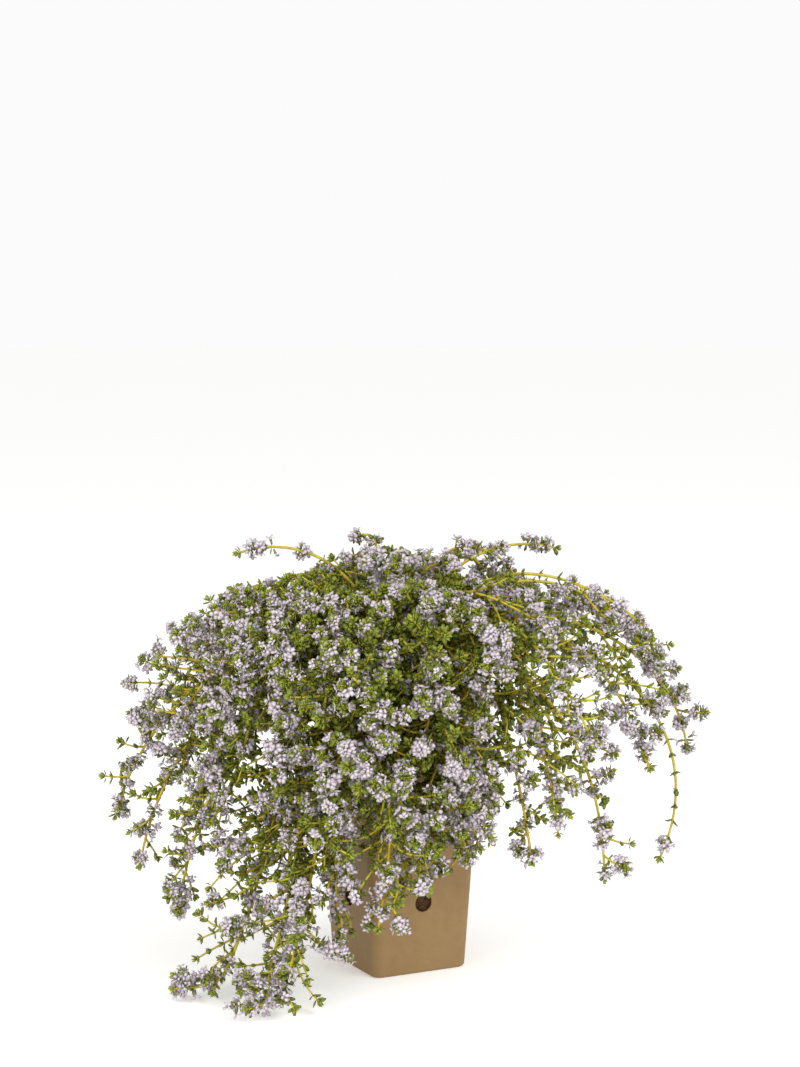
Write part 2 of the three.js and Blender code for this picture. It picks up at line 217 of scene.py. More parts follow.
# Sockets of the Mix node when it mixes colours.
MIX_FACTOR, MIX_FIRST, MIX_SECOND, MIX_RESULT = 0, 6, 7, 2

# How much finer the small patches of the mottle are than the large ones.
SMALL_PATCHES = 5.3


def plug(tree, socket, value):
    """Feeds a socket from an output, or holds it at a value. A colour is given full alpha."""
    if isinstance(value, bpy.types.NodeSocket):
        tree.links.new(value, socket)
    else:
        socket.default_value = (*value, 1.0) if socket.type == "RGBA" else value


def add_node(tree, kind, sockets=None, **settings):
    """A new node. Each socket is given a value, or the output that feeds it."""
    node = tree.nodes.new("ShaderNode" + kind)
    for name, value in settings.items():
        setattr(node, name, value)
    for name, value in (sockets or {}).items():
        plug(tree, node.inputs[name], value)
    return node


def mixed(tree, factor, first, second):
    """The output of a node that mixes two colours."""
    sockets = {MIX_FACTOR: factor, MIX_FIRST: first, MIX_SECOND: second}
    return add_node(tree, "Mix", sockets, data_type="RGBA").outputs[MIX_RESULT]


def ranged(tree, value, low, high, out_low=0.0, out_high=1.0):
    """The output of a node that maps one range of values to another, softly at both ends."""
    sockets = {
        "Value": value, "From Min": low, "From Max": high, "To Min": out_low, "To Max": out_high,
    }
    return add_node(tree, "MapRange", sockets, interpolation_type="SMOOTHSTEP").outputs["Result"]


def maths(tree, operation, *values, clamped=False):
    """The output of a node that works out one number."""
    sockets = dict(enumerate(values))
    return add_node(tree, "Math", sockets, operation=operation, use_clamp=clamped).outputs[0]


def specks(tree, place, scale, detail):
    """The output of a noise node."""
    sockets = {"Vector": place, "Scale": scale, "Detail": detail}
    return add_node(tree, "TexNoise", sockets).outputs["Fac"]


def new_group(name, inputs, outputs):
    """An empty node group. Returns it with the sockets it is given and those it fills."""
    group = bpy.data.node_groups.new(name, "ShaderNodeTree")
    for in_out, sockets in ("INPUT", inputs), ("OUTPUT", outputs):
        for socket, kind in sockets.items():
            group.interface.new_socket(socket, in_out=in_out, socket_type="NodeSocket" + kind)
    given = group.nodes.new("NodeGroupInput").outputs
    return group, given, group.nodes.new("NodeGroupOutput").inputs


def mottle_group():
    """Two colours in soft patches of two sizes."""
    group, given, out = new_group(
        "Mottle",
        {
            "Coordinates": "Vector", "Dark": "Color", "Light": "Color",
            "Scale": "Float", "Spread": "Float",
        },
        {"Colour": "Color"},
    )
    broad = specks(group, given["Coordinates"], given["Scale"], 3.0)
    finer = maths(group, "MULTIPLY", given["Scale"], SMALL_PATCHES)
    fine = specks(group, given["Coordinates"], finer, 2.0)
    centred = maths(group, "SUBTRACT", maths(group, "ADD", broad, fine), 1.0)
    spread = maths(group, "MULTIPLY_ADD", centred, given["Spread"], 0.5, clamped=True)
    blend = mixed(group, spread, given["Dark"], given["Light"])
    group.links.new(blend, out["Colour"])
    return group


def grain_group():
    """Fine grain, as a roughness round a middle value and as a height for a bump."""
    group, given, out = new_group(
        "Grain",
        {"Coordinates": "Vector", "Scale": "Float", "Roughness": "Float", "Spread": "Float"},
        {"Roughness": "Float", "Height": "Float"},
    )
    grain = specks(group, given["Coordinates"], given["Scale"], 4.0)
    centred = maths(group, "SUBTRACT", grain, 0.5)
    rough = maths(
        group, "MULTIPLY_ADD", centred, given["Spread"], given["Roughness"], clamped=True,
    )
    group.links.new(rough, out["Roughness"])
    group.links.new(grain, out["Height"])
    return group


def shared_group(name):
    """The node group of that name, built the first time that a material asks for it."""
    makers = {"Mottle": mottle_group, "Grain": grain_group}
    return bpy.data.node_groups.get(name) or makers[name]()


def attribute(tree, name):
    """A value that the mesh holds for each vertex."""
    return add_node(tree, "Attribute", attribute_name=name).outputs["Fac"]


class Finish:
    """A new material, with its shader, its Object coordinates and its bump."""

    def __init__(self, name):
        self.material = bpy.data.materials.new(name)
        self.material.use_nodes = True
        self.tree = self.material.node_tree
        self.shader = self.tree.nodes["Principled BSDF"]
        self.place = self.tree.nodes.new("ShaderNodeTexCoord").outputs["Object"]

    def set(self, **inputs):
        """Gives the shader's sockets their values, or the outputs that feed them."""
        for name, value in inputs.items():
            plug(self.tree, self.shader.inputs[name.replace("_", " ")], value)

    def shared(self, group, **sockets):
        """A shared group placed in the material, with its own values."""
        sockets["Coordinates"] = self.place
        return add_node(self.tree, "Group", sockets, node_tree=shared_group(group)).outputs

    def grain(self, scale, roughness, spread, strength, depth):
        """Roughness and bump from the shared grain."""
        made = self.shared("Grain", Scale=scale, Roughness=roughness, Spread=spread)
        height = {"Strength": strength, "Distance": depth, "Height": made["Height"]}
        bump = add_node(self.tree, "Bump", height)
        self.set(Roughness=made["Roughness"], Normal=bump.outputs["Normal"])

    def mottle(self, dark, light, scale, spread):
        """The shared mottle of two colours."""
        return self.shared("Mottle", Dark=dark, Light=light, Scale=scale, Spread=spread)["Colour"]


def pot_finish(pot):
    """Matte tan moulding, a little darker towards the base."""
    finish = Finish("Tan Moulding")
    tree = finish.tree
    base = finish.mottle(pot.tan_dark, pot.tan, scale=26.0, spread=1.1)
    fleck = ranged(tree, specks(tree, finish.place, 900.0, 2.0), 0.62, 0.74, 0.0, 0.35)
    height = add_node(tree, "SeparateXYZ", {"Vector": finish.place}).outputs["Z"]
    # The pot turns a little darker towards its base.
    foot = ranged(tree, height, POT_LOW.z, POT_HIGH.z * 0.2, 0.35, 0.0)
    darker_foot = mixed(tree, foot, base, pot.tan_dark)
    finish.set(Base_Color=mixed(tree, fleck, darker_foot, [c * 0.6 for c in pot.tan_dark]))
    finish.grain(scale=1400.0, roughness=0.62, spread=0.25, strength=0.25, depth=0.15 * MM)
    finish.set(Specular_IOR_Level=0.35)
    return finish.material


def soil_finish(pot):
    """Dark moist peat with lighter fibres."""
    finish = Finish("Peat Soil")
    tree = finish.tree
    base = finish.mottle(pot.soil_dark, pot.soil_light, scale=260.0, spread=2.2)
    root = attribute(tree, "root")
    finish.set(Base_Color=mixed(tree, root, base, pot.root))
    finish.grain(scale=1800.0, roughness=0.9, spread=0.2, strength=0.8, depth=0.8 * MM)
    finish.set(Specular_IOR_Level=0.2)
    return finish.material


def stem_finish(plant):
    """Yellow-green young stems that ripen to ochre and turn to bark at the foot."""
    finish = Finish("Thyme Bark")
    tree = finish.tree
    age = attribute(tree, "age")
    patches = finish.mottle(plant.stem_young, plant.stem_ochre, scale=22.0, spread=3.0)
    ripe = mixed(tree, ranged(tree, age, 0.35, 0.8), patches, plant.stem_ochre)
    bark = mixed(tree, ranged(tree, age, 0.75, 1.0, 0.0, 0.9), ripe, plant.stem_bark)
    streak = ranged(tree, specks(tree, finish.place, 700.0, 3.0), 0.35, 0.7, 0.0, 0.3)
    finish.set(Base_Color=mixed(tree, streak, bark, plant.stem_bark))
    finish.grain(scale=1500.0, roughness=0.55, spread=0.3, strength=0.4, depth=0.12 * MM)
    return finish.material


def leaf_finish(plant):
    """Small leaves, from dark old ones to fresh ones at the tips, with a paler rib."""
    finish = Finish("Thyme Leaf")
    tree = finish.tree
    shade = attribute(tree, "shade")
    old = finish.mottle(plant.leaf_dark, plant.leaf_green, scale=60.0, spread=1.6)
    grown = mixed(tree, ranged(tree, shade, 0.15, 0.6), old, plant.leaf_green)
    fresh = mixed(tree, ranged(tree, shade, 0.5, 1.0), grown, plant.leaf_fresh)
    rib = ranged(tree, attribute(tree, "rib"), 0.55, 1.0, 0.0, 0.4)
    finish.set(Base_Color=mixed(tree, rib, fresh, plant.leaf_fresh))
    finish.grain(scale=900.0, roughness=0.5, spread=0.25, strength=0.3, depth=0.1 * MM)
    return finish.material


def flower_finish(plant):
    """Pale lilac lips with darker throats, in green cups, with a faint painted glow that lifts
    their shade.
    """
    finish = Finish("Thyme Flower")
    tree = finish.tree
    petal = finish.mottle(plant.petal_lilac, plant.petal_pale, scale=70.0, spread=1.5)
    shade = attribute(tree, "shade")
    varied = mixed(tree, ranged(tree, shade, 0.0, 1.0, 0.0, 0.55), petal, plant.petal_lilac)
    throat = ranged(tree, attribute(tree, "throat"), 0.6, 1.0, 0.0, 0.6)
    lips = mixed(tree, throat, varied, plant.throat)
    cup = finish.mottle(plant.calyx, plant.leaf_green, scale=120.0, spread=1.0)
    finish.set(Base_Color=mixed(tree, attribute(tree, "calyx"), lips, cup))
    finish.grain(scale=800.0, roughness=0.6, spread=0.2, strength=0.15, depth=0.1 * MM)
    # The petals glow faintly in their own lilac: painted light that lifts the shade between the
    # florets.
    finish.set(Emission_Color=plant.petal_lilac, Emission_Strength=0.08)
    return finish.material


# ---------------------------------------------------------------- pieces

def new_object(name, data):
    """A new object in the scene."""
    made = bpy.data.objects.new(name, data)
    bpy.context.scene.collection.objects.link(made)
    return made


def finish_piece(name, mesh, nodes, material):
    """A finished piece: its mesh stands where it belongs and its object at the origin."""
    mesh.name = name
    mesh.materials.clear()
    mesh.materials.append(material)
    piece = new_object(name, mesh)
    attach(piece, "root")
    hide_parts(*nodes)


def bmesh_with(*layers):
    """An empty bmesh whose vertices hold the named values."""
    bm = bmesh.new()
    for layer in layers:
        bm.verts.layers.float.new(layer)
    return bm


def mesh_of(bm, name):
    """A smooth-shaded mesh from a bmesh, which is freed."""
    for face in bm.faces:
        face.smooth = True
    mesh = bpy.data.meshes.new(name)
    bm.to_mesh(mesh)
    bm.free()
    return mesh


def copy_into(bm, template, matrix):
    """Adds a moved copy of a template mesh to a bmesh."""
    copy = template.copy()
    copy.transform(matrix)
    bm.from_mesh(copy)
    bpy.data.meshes.remove(copy)


# ---------------------------------------------------------------- pot

CORNER_SEGMENTS = 10
FOOT_SEGMENTS = 5
RIM_SEGMENTS = 3
SIDE_HOLE_SEGMENTS = 40
DRAIN_HOLE_SEGMENTS = 24
SHARP = math.radians(50)  # edges that bend more than this are rounded over


def bevel_edges(bm, edges, radius, segments):
    """Rounds edges over to a radius."""
    bmesh.ops.bevel(
        bm, geom=edges, offset=radius, offset_type="OFFSET", segments=segments, profile=0.5,
        affect="EDGES", material=-1,
    )


def tapered_block(bm, base_width, top_width, low, high, corner):
    """A square block with round upright corners, which widens upwards with its corners."""
    bmesh.ops.create_cube(bm, size=1.0)
    bmesh.ops.scale(bm, vec=(base_width, base_width, high - low), verts=bm.verts)
    bmesh.ops.translate(bm, vec=(0, 0, (low + high) / 2), verts=bm.verts)
    upright = [edge for edge in bm.edges if abs(edge.verts[0].co.z - edge.verts[1].co.z) > NEAR]
    bevel_edges(bm, upright, corner, CORNER_SEGMENTS)
    top = [vert for vert in bm.verts if vert.co.z > (low + high) / 2]
    widen = top_width / base_width
    bmesh.ops.scale(bm, vec=(widen, widen, 1), verts=top)


def round_foot(bm):
    """Rounds the bottom edge of a block over."""
    low = POT_LOW.z + NEAR
    edges = [edge for edge in bm.edges if max(vert.co.z for vert in edge.verts) < low]
    bevel_edges(bm, edges, FOOT_ROUND, FOOT_SEGMENTS)


def hollow_out(bm, pot):
    """Sinks the top face down to the floor, which leaves the walls."""
    top = max(bm.faces, key=lambda face: face.calc_center_median().z)
    bmesh.ops.inset_individual(bm, faces=[top], thickness=pot.wall, depth=0)
    sunk = bmesh.ops.extrude_face_region(bm, geom=[top])
    inner_floor = [part for part in sunk["geom"] if isinstance(part, bmesh.types.BMVert)]
    bmesh.ops.delete(bm, geom=[face for face in bm.faces if face == top], context="FACES_ONLY")
    depth = POT_HIGH.z - POT_LOW.z
    width = between(POT_BASE_WIDTH, POT_TOP_WIDTH, pot.floor / depth)
    narrow = (width - 2 * pot.wall) / (POT_TOP_WIDTH - 2 * pot.wall)
    bmesh.ops.scale(bm, vec=(narrow, narrow, 1), verts=inner_floor)
    bmesh.ops.translate(bm, vec=(0, 0, pot.floor - depth), verts=inner_floor)


def pin_into(bm, segments, diameter, depth, place):
    """A round pin along its place's Z."""
    bmesh.ops.create_cone(
        bm, cap_ends=True, segments=segments, radius1=diameter / 2, radius2=diameter / 2,
        depth=depth, matrix=place,
    )


def hole_pins(pot):
    """The round pins that cut the side holes and the drain holes."""
    bm = bmesh.new()
    across = POT_TOP_WIDTH * 2
    for axis in ("Y", "X"):
        turn = Matrix.Rotation(math.pi / 2, 4, axis)
        middle = Matrix.Translation((0, 0, pot.side_hole_height))
        pin_into(bm, SIDE_HOLE_SEGMENTS, pot.side_hole, across, middle @ turn)
    for x in (-pot.drain_offset, pot.drain_offset):
        for y in (-pot.drain_offset, pot.drain_offset):
            place = Matrix.Translation((x, y, 0))
            pin_into(bm, DRAIN_HOLE_SEGMENTS, pot.drain_hole, pot.floor * 4, place)
    return new_object("pins", mesh_of(bm, "pins"))


def make_pot(pot):
    """The moulded pot, with its rim, base and hole edges rounded over."""
    bm = bmesh.new()
    tapered_block(bm, POT_BASE_WIDTH, POT_TOP_WIDTH, POT_LOW.z, POT_HIGH.z, pot.corner_radius)
    round_foot(bm)
    hollow_out(bm, pot)
    bmesh.ops.recalc_face_normals(bm, faces=bm.faces)
    pins = hole_pins(pot)
    passing = new_object("pot_passing", mesh_of(bm, "pot"))
    cut = passing.modifiers.new("Holes", "BOOLEAN")
    cut.operation = "DIFFERENCE"
    cut.solver = "EXACT"
    cut.use_self = True
    cut.object = pins
    edge = passing.modifiers.new("Edges", "BEVEL")
    edge.limit_method = "ANGLE"
    edge.angle_limit = SHARP
    edge.width = pot.edge_round
    edge.segments = RIM_SEGMENTS
    passing.modifiers.new("Normals", "WEIGHTED_NORMAL").keep_sharp = True
    evaluated = passing.evaluated_get(bpy.context.evaluated_depsgraph_get())
    mesh = bpy.data.meshes.new_from_object(evaluated)
    bpy.data.objects.remove(passing)
    bpy.data.objects.remove(pins)
    finish_piece("pot_moulding", mesh, ["pot"], pot_finish(pot))


# ---------------------------------------------------------------- soil

# Lengths here are in millimetres.
CLOD_CUTS = 34  # how finely the root ball is divided
CLOD_SCALES = (160, 420)  # of the noise of its lumps, coarse and fine
CRUMBS = 170
CRUMB_SIZES = (0.7, 2.2)
CRUMB_FROM_EDGE = 5
ROOTS_IN_HOLE = 6
ROOT_STEP = 4.5
ROOT_FOOT, ROOT_TIP = 0.35, 0.2


def round_corners(vert, half, radius):
    """Pulls a point near an upright corner of a square block in to the corner's arc."""
    core = half - radius
    over_x = abs(vert.co.x) - core
    over_y = abs(vert.co.y) - core
    if over_x > 0 and over_y > 0:
        arc = Vector((over_x, over_y)).normalized() * max(over_x, over_y)
        vert.co.x = math.copysign(core + arc.x, vert.co.x)
        vert.co.y = math.copysign(core + arc.y, vert.co.y)


def make_root_ball(bm, pot):
    """A lumpy block of soil that fills the pot, cloddy at the top."""
    bmesh.ops.create_cube(bm, size=1.0)
    bmesh.ops.subdivide_edges(bm, edges=bm.edges, cuts=CLOD_CUTS, use_grid_fill=True)
    for vert in bm.verts:
        share = vert.co.z + 0.5
        width = between(SOIL_BASE_WIDTH, SOIL_TOP_WIDTH, share)
        vert.co.x *= width
        vert.co.y *= width
        vert.co.z = SOIL_LOW.z + share * (SOIL_HIGH.z - SOIL_LOW.z)
        round_corners(vert, width / 2, pot.corner_radius)
        coarse, fine = (noise.noise(vert.co * scale) for scale in CLOD_SCALES)
        lump = coarse * 0.6 + fine * 0.4
        dent = 1 - (0.6 + 0.6 * lump) * MM / (width / 2)
        vert.co.x *= dent
        vert.co.y *= dent
        if share > 0.999:
            vert.co.z -= (1.6 + 2.4 * lump) * MM


def make_crumbs(bm, draw):
    """Crumbs of bark and peat that lie on the soil."""
    reach = SOIL_TOP_WIDTH / 2 - CRUMB_FROM_EDGE * MM
    height = SOIL_HIGH.z - 1.4 * MM
    for _ in range(CRUMBS):
        size = draw.uniform(*CRUMB_SIZES) * MM
        spot = Vector((draw.uniform(-reach, reach), draw.uniform(-reach, reach), height))
        axis = Vector([draw.gauss(0, 1) for _ in range(3)]).normalized()
        turn = Quaternion(axis, draw.uniform(0, 6))
        shape = Matrix.LocRotScale(spot, turn, Vector((size, size * 0.7, size * 0.45)))
        bmesh.ops.create_icosphere(bm, subdivisions=1, radius=1.0, matrix=shape)


def root_knots(face, height, draw):
    """The knots of a fine root that crosses a side hole, in the face that looks along X."""
    tilt = draw.uniform(-1.2, 1.2)
    middle = height + draw.uniform(-5, 5) * MM
    knots = []
    for step in range(-2, 3):
        along = step * ROOT_STEP * MM
        sway = draw.uniform(-1.2, 1.2) * MM
        out = face + draw.uniform(-0.3, 0.1) * MM
        knots.append(Vector((out, along * math.cos(tilt) + sway, middle + along * math.sin(tilt))))
    return knots


def make_soil(pot, plant):
    """The root ball with its crumbs, and the fine roots that show in the side holes."""
    draw = random.Random(plant.seed)
    bm = bmesh_with("root")
    make_root_ball(bm, pot)
    make_crumbs(bm, draw)
    no_roots = set(bm.verts)
    share = (pot.side_hole_height - SOIL_LOW.z) / (SOIL_HIGH.z - SOIL_LOW.z)
    face = between(SOIL_BASE_WIDTH, SOIL_TOP_WIDTH, share) / 2 - 0.5 * MM
    for quarter in range(4):
        turn = Matrix.Rotation(quarter * math.pi / 2, 4, "Z")
        for _ in range(ROOTS_IN_HOLE):
            knots = [turn @ knot for knot in root_knots(face, pot.side_hole_height, draw)]
            sweep(bm, Line(knots, 1.5 * MM), ROOT_FOOT * MM, ROOT_TIP * MM, SHOOT_SIDES)
    root_layer = bm.verts.layers.float["root"]
    for vert in bm.verts:
        vert[root_layer] = 0.0 if vert in no_roots else 1.0
    bmesh.ops.recalc_face_normals(bm, faces=bm.faces)
    mesh = mesh_of(bm, "soil")
    finish_piece("soil_root_ball", mesh, ["soil"], soil_finish(pot))


# ---------------------------------------------------------------- lines and stems

class Line:
    """A smooth line through its knots, read by the distance along it."""

    def __init__(self, knots, step):
        headings = [self._knot_heading(knots, k) for k in range(len(knots))]
        self.points = [knots[0].copy()]
        for k in range(len(knots) - 1):
            chord = (knots[k + 1] - knots[k]).length
            first = knots[k] + headings[k] * chord / 3
            last = knots[k + 1] - headings[k + 1] * chord / 3
            count = max(2, math.ceil(chord / step) + 1)
            self.points += interpolate_bezier(knots[k], first, last, knots[k + 1], count)[1:]
        self.reached = [0.0]
        for near, far in zip(self.points, self.points[1:]):
            self.reached.append(self.reached[-1] + (far - near).length)
        self.length = self.reached[-1]

    @staticmethod
    def _knot_heading(knots, k):
        """The heading at a knot, which leans towards the shorter side as on a circle."""
        before = knots[k] - knots[k - 1] if k else knots[1] - knots[0]
        after = knots[k + 1] - knots[k] if k + 1 < len(knots) else before
        both = before * (after.length / before.length) + after * (before.length / after.length)
        return both.normalized()

    def at(self, distance):
        """The point at a distance from the line's start."""
        distance = min(max(distance, 0.0), self.length)
        k = min(bisect_right(self.reached, distance), len(self.points) - 1) - 1
        share = (distance - self.reached[k]) / (self.reached[k + 1] - self.reached[k])
        return self.points[k].lerp(self.points[k + 1], share)

    def heading(self, distance):
        """The way that the line runs at a distance from its start."""
        return (self.at(distance + 1 * MM) - self.at(distance - 1 * MM)).normalized()


def sweep(bm, line, foot_radius, tip_radius, sides):
    """A tube along a line, from its foot to its tip. Returns the new vertices, ring by ring."""
    heading = line.heading(0)
    turn = heading.to_track_quat("Z", "Y")
    before = Matrix.LocRotScale(line.points[0], turn, Vector((foot_radius,) * 3))
    ring = bmesh.ops.create_circle(bm, cap_ends=True, segments=sides, radius=1.0, matrix=before)
    cap = ring["verts"][0].link_faces[0]
    rings = [list(cap.verts)]
    for point, reached in zip(line.points[1:], line.reached[1:]):
        next_heading = line.heading(reached)
        turn = heading.rotation_difference(next_heading) @ turn
        heading = next_heading
        radius = foot_radius + (tip_radius - foot_radius) * reached / line.length
        after = Matrix.LocRotScale(point, turn, Vector((radius,) * 3))
        grown = bmesh.ops.extrude_face_region(bm, geom=[cap])["geom"]
        cap = next(part for part in grown if isinstance(part, bmesh.types.BMFace))
        bmesh.ops.transform(bm, matrix=after @ before.inverted(), verts=cap.verts)
        rings.append(list(cap.verts))
        before = after
    return rings


# A ring of a stem's solid belongs to a flower whorl where this many corners reach this far out.
FLOWER_POINTS = 3
FLOWER_REACH = 5.5 * MM

SAME_CORNER = 0.001 * MM
KNOT_GAP = 2.5 * MM  # rings of a solid closer than this make one knot
STEM_STEP = 5 * MM  # distance between the rings of a stem's tube
BRANCH_STEP = 7 * MM
SHOOT_STEP = 8 * MM
STEM_SIDES = 8
SHOOT_SIDES = 5
BRANCH_GIRTH = 1.3  # how much thicker a long branch is than a side shoot

# How woody a shoot is at its foot and its tip, from 0 for green to 1 for bark.
STEM_AGES = (1.0, 0.1)
BRANCH_AGES = (0.6, 0.0)
SHOOT_AGES = (0.45, 0.0)


def stem_rings(node):
    """The rings of corners of a stem's solid from foot to tip, each as its middle and how many of
    its corners reach far out.
    """
    bm = bmesh.new()
    bm.from_mesh(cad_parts[node].data)
    bmesh.ops.remove_doubles(bm, verts=bm.verts, dist=SAME_CORNER)
    half = SOIL_TOP_WIDTH / 2
    in_pot = [vert for vert in bm.verts if max(abs(vert.co.x), abs(vert.co.y)) < half]
    bm.verts.index_update()
    foot = min(vert.co.z for vert in in_pot)
    ring = {vert for vert in in_pot if vert.co.z < foot + NEAR}
    seen = set(ring)
    rings = []
    while ring:
        corners = sorted(ring, key=lambda vert: vert.index)
        middle = sum((vert.co for vert in corners), Vector()) / len(corners)
        long_corners = sum((vert.co - middle).length > FLOWER_REACH for vert in corners)
        rings.append((middle, long_corners))
        ring = {edge.other_vert(vert) for vert in ring for edge in vert.link_edges} - seen
        seen |= ring
    bm.free()
    return rings


class Sprig:
    """A stem or a side shoot: its middle line, and what grows where along it."""

    def __init__(self, line, radii, ages):
        self.line = line
        self.radii = radii  # at the foot and at the tip
        self.ages = ages
        self.whorls = []  # distances of the flower whorls from the foot
        self.pairs = []  # distances of the opposite leaves
        self.tuft = 1.0  # size of the leafy tuft at the tip


def main_sprig(node, plant):
    """A stem's main shoot: its line and the places of its whorls are those of its solid."""
    rings = stem_rings(node)
    knots = [rings[0][0]]
    for middle, _ in rings[1:]:
        if (middle - knots[-1]).length > KNOT_GAP:
            knots.append(middle)
    line = Line(knots, STEM_STEP)
    sprig = Sprig(line, (plant.stem_foot, plant.stem_tip), STEM_AGES)
    flowering = [middle for middle, long_corners in rings if long_corners == FLOWER_POINTS]
    centres = [(first + second) / 2 for first, second in zip(flowering[::2], flowering[1::2])]
    for centre in centres:
        nearest = min(range(len(line.points)), key=lambda k: (line.points[k] - centre).length)
        sprig.whorls.append(line.reached[nearest])
    return sprig


# ---------------------------------------------------------------- growth

CROWD_CELL = 26 * MM  # tips further apart than this don't crowd each other
HEART = Vector((0, 0, 0.195))  # shoots lower than this look level for light
HEAD_RADIUS = 7.5 * MM  # room that a flowering tip needs
BOX_SLACK = 9 * MM  # how far past the solids' box a flowering tip may reach
TRIES = 9  # side shoots tried for each one that is kept

BRANCH_SIDE = 0.5  # stems that face the full side more than this bear branches
BRANCH_START = (0.2, 0.5)  # share of the stem's length below a branch
BRANCH_REACH = (80, 130)  # in millimetres
BRANCH_WHORLS = (2, 3, 4)  # how many whorls a branch may have
BRANCH_TOP_WHORL = 5  # distance of its last whorl from its tip, in millimetres
BRANCH_NEXT_WHORL = 14  # and from one whorl to the next
BRANCH_FIRST_PAIR = 8 * MM  # distance of a branch's first leaves from its foot
STEM_FIRST_PAIR = 30 * MM
BELOW_WHORL = 5 * MM  # how much is bare of leaves below a whorl

FAT_SIDE = 0.6  # low shoots that face the full side less are few and short
LEAN_LONGEST = 26 * MM
LEAN_MISSING = 0.35  # share of the shoots that is missing there
RUNNER_SHARE = 0.4  # share of a runner's length that bears side shoots
BARE_FOOT = 20 * MM  # how much of a stem or branch bears no side shoots
BARE_TIP = 12 * MM
DROOP = 4 * MM  # how much lower than its stem's end a side shoot may end
BULK_EDGE = 30 * MM  # distance over which the shoots get shorter outside the bulk
BUMP_SCALE = 22  # of the noise that makes the plant's top uneven

GREEN_PATCH = -0.24  # where the patch noise is below this, few shoots flower
PATCH_SCALE = 20
SPARSE_WHORLS = (0, 0, 0, 1)  # how many whorls a side shoot may have
WHORLS = (0, 1, 1, 2, 3)
TOP_WHORL = (2.5, 4)  # distance of the last whorl from the tip, in millimetres
NEXT_WHORL = (8, 11)  # and from one whorl to the next
LOWEST_WHORL = 5 * MM  # from the foot
PAIRS_FROM_ENDS = 4 * MM  # how much of a side shoot is bare of leaves at either end
LOOKS = (-0.9, 0, 0.9)  # turns in which a shoot looks out for others that shade it


class Crowd:
    """Tells how crowded a place is with what has been put down so far."""

    def __init__(self):
        self.taken = {}

    @staticmethod
    def _key(point):
        return tuple(math.floor(part / CROWD_CELL) for part in point)

    def add(self, point):
        """Puts a point down."""
        self.taken.setdefault(self._key(point), []).append(point)

    def near(self, point):
        """The points nearby, each counted by how close it is."""
        x, y, z = self._key(point)
        total = 0.0
        for offset in range(27):
            key = (x + offset % 3 - 1, y + offset // 3 % 3 - 1, z + offset // 9 - 1)
            for other in self.taken.get(key, ()):
                total += max(0.0, 1 - (other - point).length / CROWD_CELL)
        return total


def side_knots(main, at, reach, draw):
    """A side shoot's knots: it leaves its stem sideways, then turns outwards, and up where it is
    high. The numbers weigh the directions against each other.
    """
    start = main.at(at)
    along = main.heading(at)
    outward = Vector((start.x, start.y, 0)).normalized()
    spin = Quaternion(along, draw.uniform(0, 2 * math.pi)) @ along.orthogonal().normalized()
    first = (along * draw.uniform(0.5, 1.2) + spin * 0.9 + outward * 0.3 + UP * 0.15).normalized()
    sway = Vector([draw.uniform(-0.7, 0.7) for _ in range(3)])
    lift = draw.uniform(-0.6, 0.6) + min(start.z / 0.3, 1) * 0.7
    last = (first * 0.5 + UP * lift + outward * 0.25 + sway).normalized()
    end = start + (first * 0.55 + last * 0.5) * reach
    bend_in = start + first * reach * 0.35
    bend_out = end - last * reach * 0.35
    return interpolate_bezier(start, bend_in, bend_out, end, 4)


def has_room(points):
    """Whether a shoot stays out of the pot and the floor, and close to the solids' box."""
    low, high = CAD_BOX
    for point in points:
        if point.z < HEAD_RADIUS:
            return False
        for k in range(3):
            if not low[k] - BOX_SLACK + HEAD_RADIUS < point[k] < high[k] + BOX_SLACK - HEAD_RADIUS:
                return False
        half = (POT_BASE_WIDTH + POT_WIDENING * point.z) / 2
        beside = max(abs(point.x), abs(point.y)) - half
        if point.z < POT_HIGH.z + 1 * MM and beside < HEAD_RADIUS * 0.5:
            return False
    return True


def long_branches(main, plant, draw):
    """Long branches of a stem on the full side. Each runs beside its stem and drifts away."""
    branches = []
    if facing(main.line.points[-1], plant) < BRANCH_SIDE:
        return branches
    for side in (-1, 1, 0):
        at = main.line.length * draw.uniform(*BRANCH_START)
        reach = min(draw.uniform(*BRANCH_REACH) * MM, main.line.length - at)
        start = main.line.at(at)
        outward = Vector((start.x, start.y, 0)).normalized()
        aside = outward.cross(UP) * (side * draw.uniform(0.25, 0.45))
        away = outward * draw.uniform(-0.25, 0.15)
        drift = (aside + away + UP * draw.uniform(-0.15, 0.2)) * reach
        knots = [main.line.at(at + reach * k / 4) + drift * (k / 4) ** 1.3 for k in range(5)]
        if has_room(knots[1:]) and knots[-1].z > main.line.points[-1].z:
            radii = plant.sprig_foot * BRANCH_GIRTH, plant.sprig_tip
            branch = Sprig(Line(knots, BRANCH_STEP), radii, BRANCH_AGES)
            count = draw.choice(BRANCH_WHORLS)
            backs = [BRANCH_TOP_WHORL + BRANCH_NEXT_WHORL * k for k in range(count)]
            branch.whorls = sorted(branch.line.length - back * MM for back in backs)
            bare_end = branch.whorls[0] - BELOW_WHORL
            branch.pairs = spaced(BRANCH_FIRST_PAIR, bare_end, plant.pair_spacing, draw)
            branches.append(branch)
    return branches


